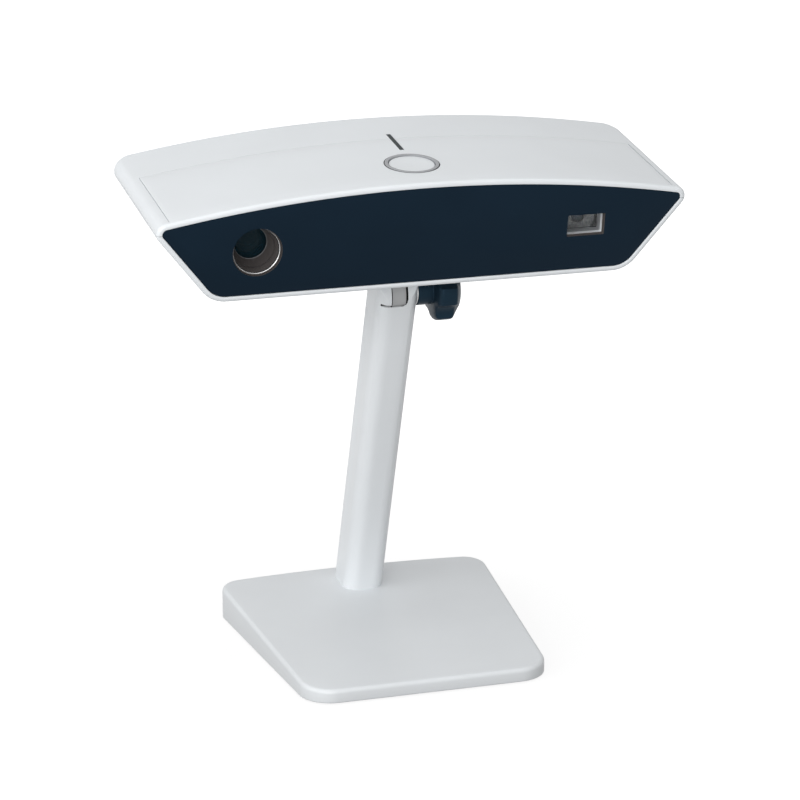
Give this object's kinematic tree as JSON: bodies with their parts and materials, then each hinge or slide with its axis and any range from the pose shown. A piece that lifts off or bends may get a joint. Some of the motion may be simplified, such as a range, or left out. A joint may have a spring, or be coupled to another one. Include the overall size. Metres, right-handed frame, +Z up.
{
  "type": "desktop 3d scanner",
  "caption": "Wide arched scanner head with a dark front window, lens and projector port, tilting on a leaning column over a wedge base.",
  "frame": {"origin": "middle of the base footprint on the desk plane", "axes": "+X to the right as seen from the front, +Y to the back, +Z up; the head looks along -Y"},
  "size_m": [0.32, 0.176, 0.3265],
  "materials": {
    "shell_white": "fine satin off-white moulded plastic",
    "stand_white": "satin off-white powder paint",
    "panel_navy": "polished smoked dark navy acrylic",
    "knob_navy": "semi-matt dark navy plastic",
    "surround_grey": "mid grey satin plastic",
    "dark_plastic": "black moulded plastic",
    "light_dark": "smoked light guide",
    "ring_metal": "turned bright metal",
    "dark_metal": "black anodised aluminium",
    "aluminium": "bare milled aluminium",
    "steel": "zinc plated steel",
    "iron": "painted cast iron",
    "brass": "turned brass",
    "rubber": "black anti-slip rubber",
    "cover_grey": "grey painted sheet steel",
    "board_green": "green circuit board",
    "lens_glass": "coated optical glass"
  },
  "bodies": {
    "stand": {"base_shell": "stand_white", "base_weight": "iron", "base_cover": "cover_grey", "base_screws": "steel", "grip_pad": "rubber", "column": "stand_white", "foot_block": "steel", "column_bolts": "steel", "clamp_cheek": "stand_white", "cheek_pin": "steel", "pivot_bolt": "steel", "pivot_cap": "stand_white", "friction_washers": "dark_plastic", "knob_washer": "steel"},
    "head": {"head_bracket": "stand_white", "bracket_screws": "steel", "lower_shell": "shell_white", "upper_shell": "shell_white", "top_cover": "shell_white", "front_panel": "panel_navy", "shell_screws": "steel", "optical_bench": "aluminium", "bench_posts": "brass", "camera_holder": "aluminium", "camera_barrel": "dark_metal", "camera_board": "board_green", "lens_ring": "ring_metal", "lens_glass": "lens_glass", "projector_engine": "dark_metal", "projector_lens": "dark_metal", "window_bezel": "ring_metal", "window_glass": "lens_glass", "heat_sink": "aluminium", "main_board": "board_green", "board_posts": "brass", "power_socket": "dark_plastic", "usb_socket": "ring_metal", "fan_frame": "dark_plastic", "button_surround": "surround_grey", "button_switch": "dark_plastic", "status_light": "light_dark"},
    "knob": {"clamp_knob": "knob_navy", "knob_insert": "brass"},
    "button": {"power_button": "shell_white"},
    "fan": {"fan_rotor": "dark_plastic"}
  },
  "joints": [
    {"name": "head_tilt", "type": "hinge", "parent": "stand", "child": "head", "pos_m": [0, -0.008, 0.229], "axis": [1, 0, 0], "range_deg": [-15, 30]},
    {"name": "knob_turn", "type": "hinge", "parent": "stand", "child": "knob", "pos_m": [0.034, -0.008, 0.229], "axis": [1, 0, 0], "range_deg": [-180, 540]},
    {"name": "button_press", "type": "slide", "parent": "head", "child": "button", "axis": [0, 0.1219, -0.9925], "range_m": [0, 0.001], "stiffness_N_per_m": 500, "springref_m": -0.0006},
    {"name": "fan_spin", "type": "hinge", "parent": "head", "child": "fan", "pos_m": [0.05, 0.03432, 0.28397], "axis": [0, 0.9925, 0.1219], "continuous": true}
  ]
}
